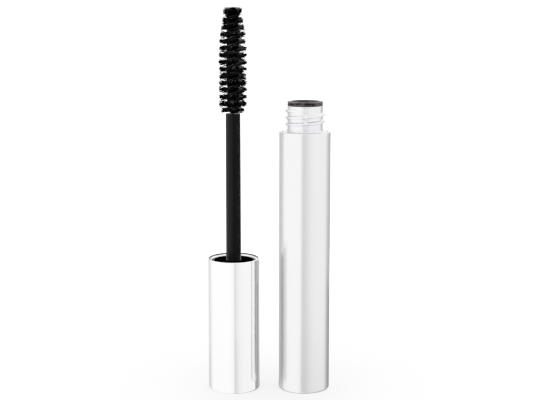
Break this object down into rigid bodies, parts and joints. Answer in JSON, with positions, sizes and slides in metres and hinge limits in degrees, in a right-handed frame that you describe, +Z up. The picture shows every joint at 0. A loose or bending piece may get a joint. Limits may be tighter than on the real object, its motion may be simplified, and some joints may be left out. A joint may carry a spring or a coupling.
{
  "type": "mascara tube with wand",
  "caption": "Slim round mascara tube with a threaded neck and wiper, and its chrome screw cap that holds a black wand with a twisted-wire brush.",
  "frame": {"origin": "on the floor plane, centre of the bounding box, midway between the tube and the cap", "axes": "+Z up along the tube and the wand, +X from the cap towards the tube, +Y to the back"},
  "size_m": [0.0388, 0.0164, 0.1214],
  "materials": {
    "sleeve": "satin silver",
    "vial": "metallised silver",
    "wiper": "satin",
    "mascara": "wet",
    "shell": "mirror",
    "weight": "turned",
    "inner_cap": "moulded",
    "liner": "matt",
    "wand": "satin moulded",
    "wire": "drawn wire",
    "bristles": "nylon fibre"
  },
  "bodies": {
    "tube": {"tube_sleeve": "sleeve", "vial": "vial", "wiper": "wiper", "mascara_bulk": "mascara"},
    "dab": {"tip_dab": "mascara"},
    "liner": {"sealing_liner": "liner"},
    "weight": {"cap_weight": "weight"},
    "applicator": {"cap_shell": "shell", "inner_cap": "inner_cap", "wand": "wand", "wire_core": "wire", "bristle_row_a": "bristles", "bristle_row_b": "bristles"}
  },
  "joints": [
    {"name": "wand_turnover", "type": "hinge", "parent": "tube", "child": "dab", "pos_m": [0.00005, 0, 0.1119], "axis": [0, 1, 0], "range_deg": [0, 180]},
    {"name": "wand_insert", "type": "slide", "parent": "dab", "child": "liner", "axis": [0, 0, 1], "range_m": [0, 0.09429], "deforming": ["wiper", "bristle_row_a", "bristle_row_b", "tip_dab"]},
    {"name": "thread_lift", "type": "slide", "parent": "liner", "child": "weight", "axis": [0, 0, 1], "range_m": [0, 0.00372]},
    {"name": "cap_turn", "type": "hinge", "parent": "weight", "child": "applicator", "pos_m": [-0.0112, 0, 0], "axis": [0, 0, 1], "range_deg": [0, 630]}
  ],
  "couplings": [
    {"joint": "thread_lift", "follows": "cap_turn", "m_per_rad": 0.00033741}
  ]
}
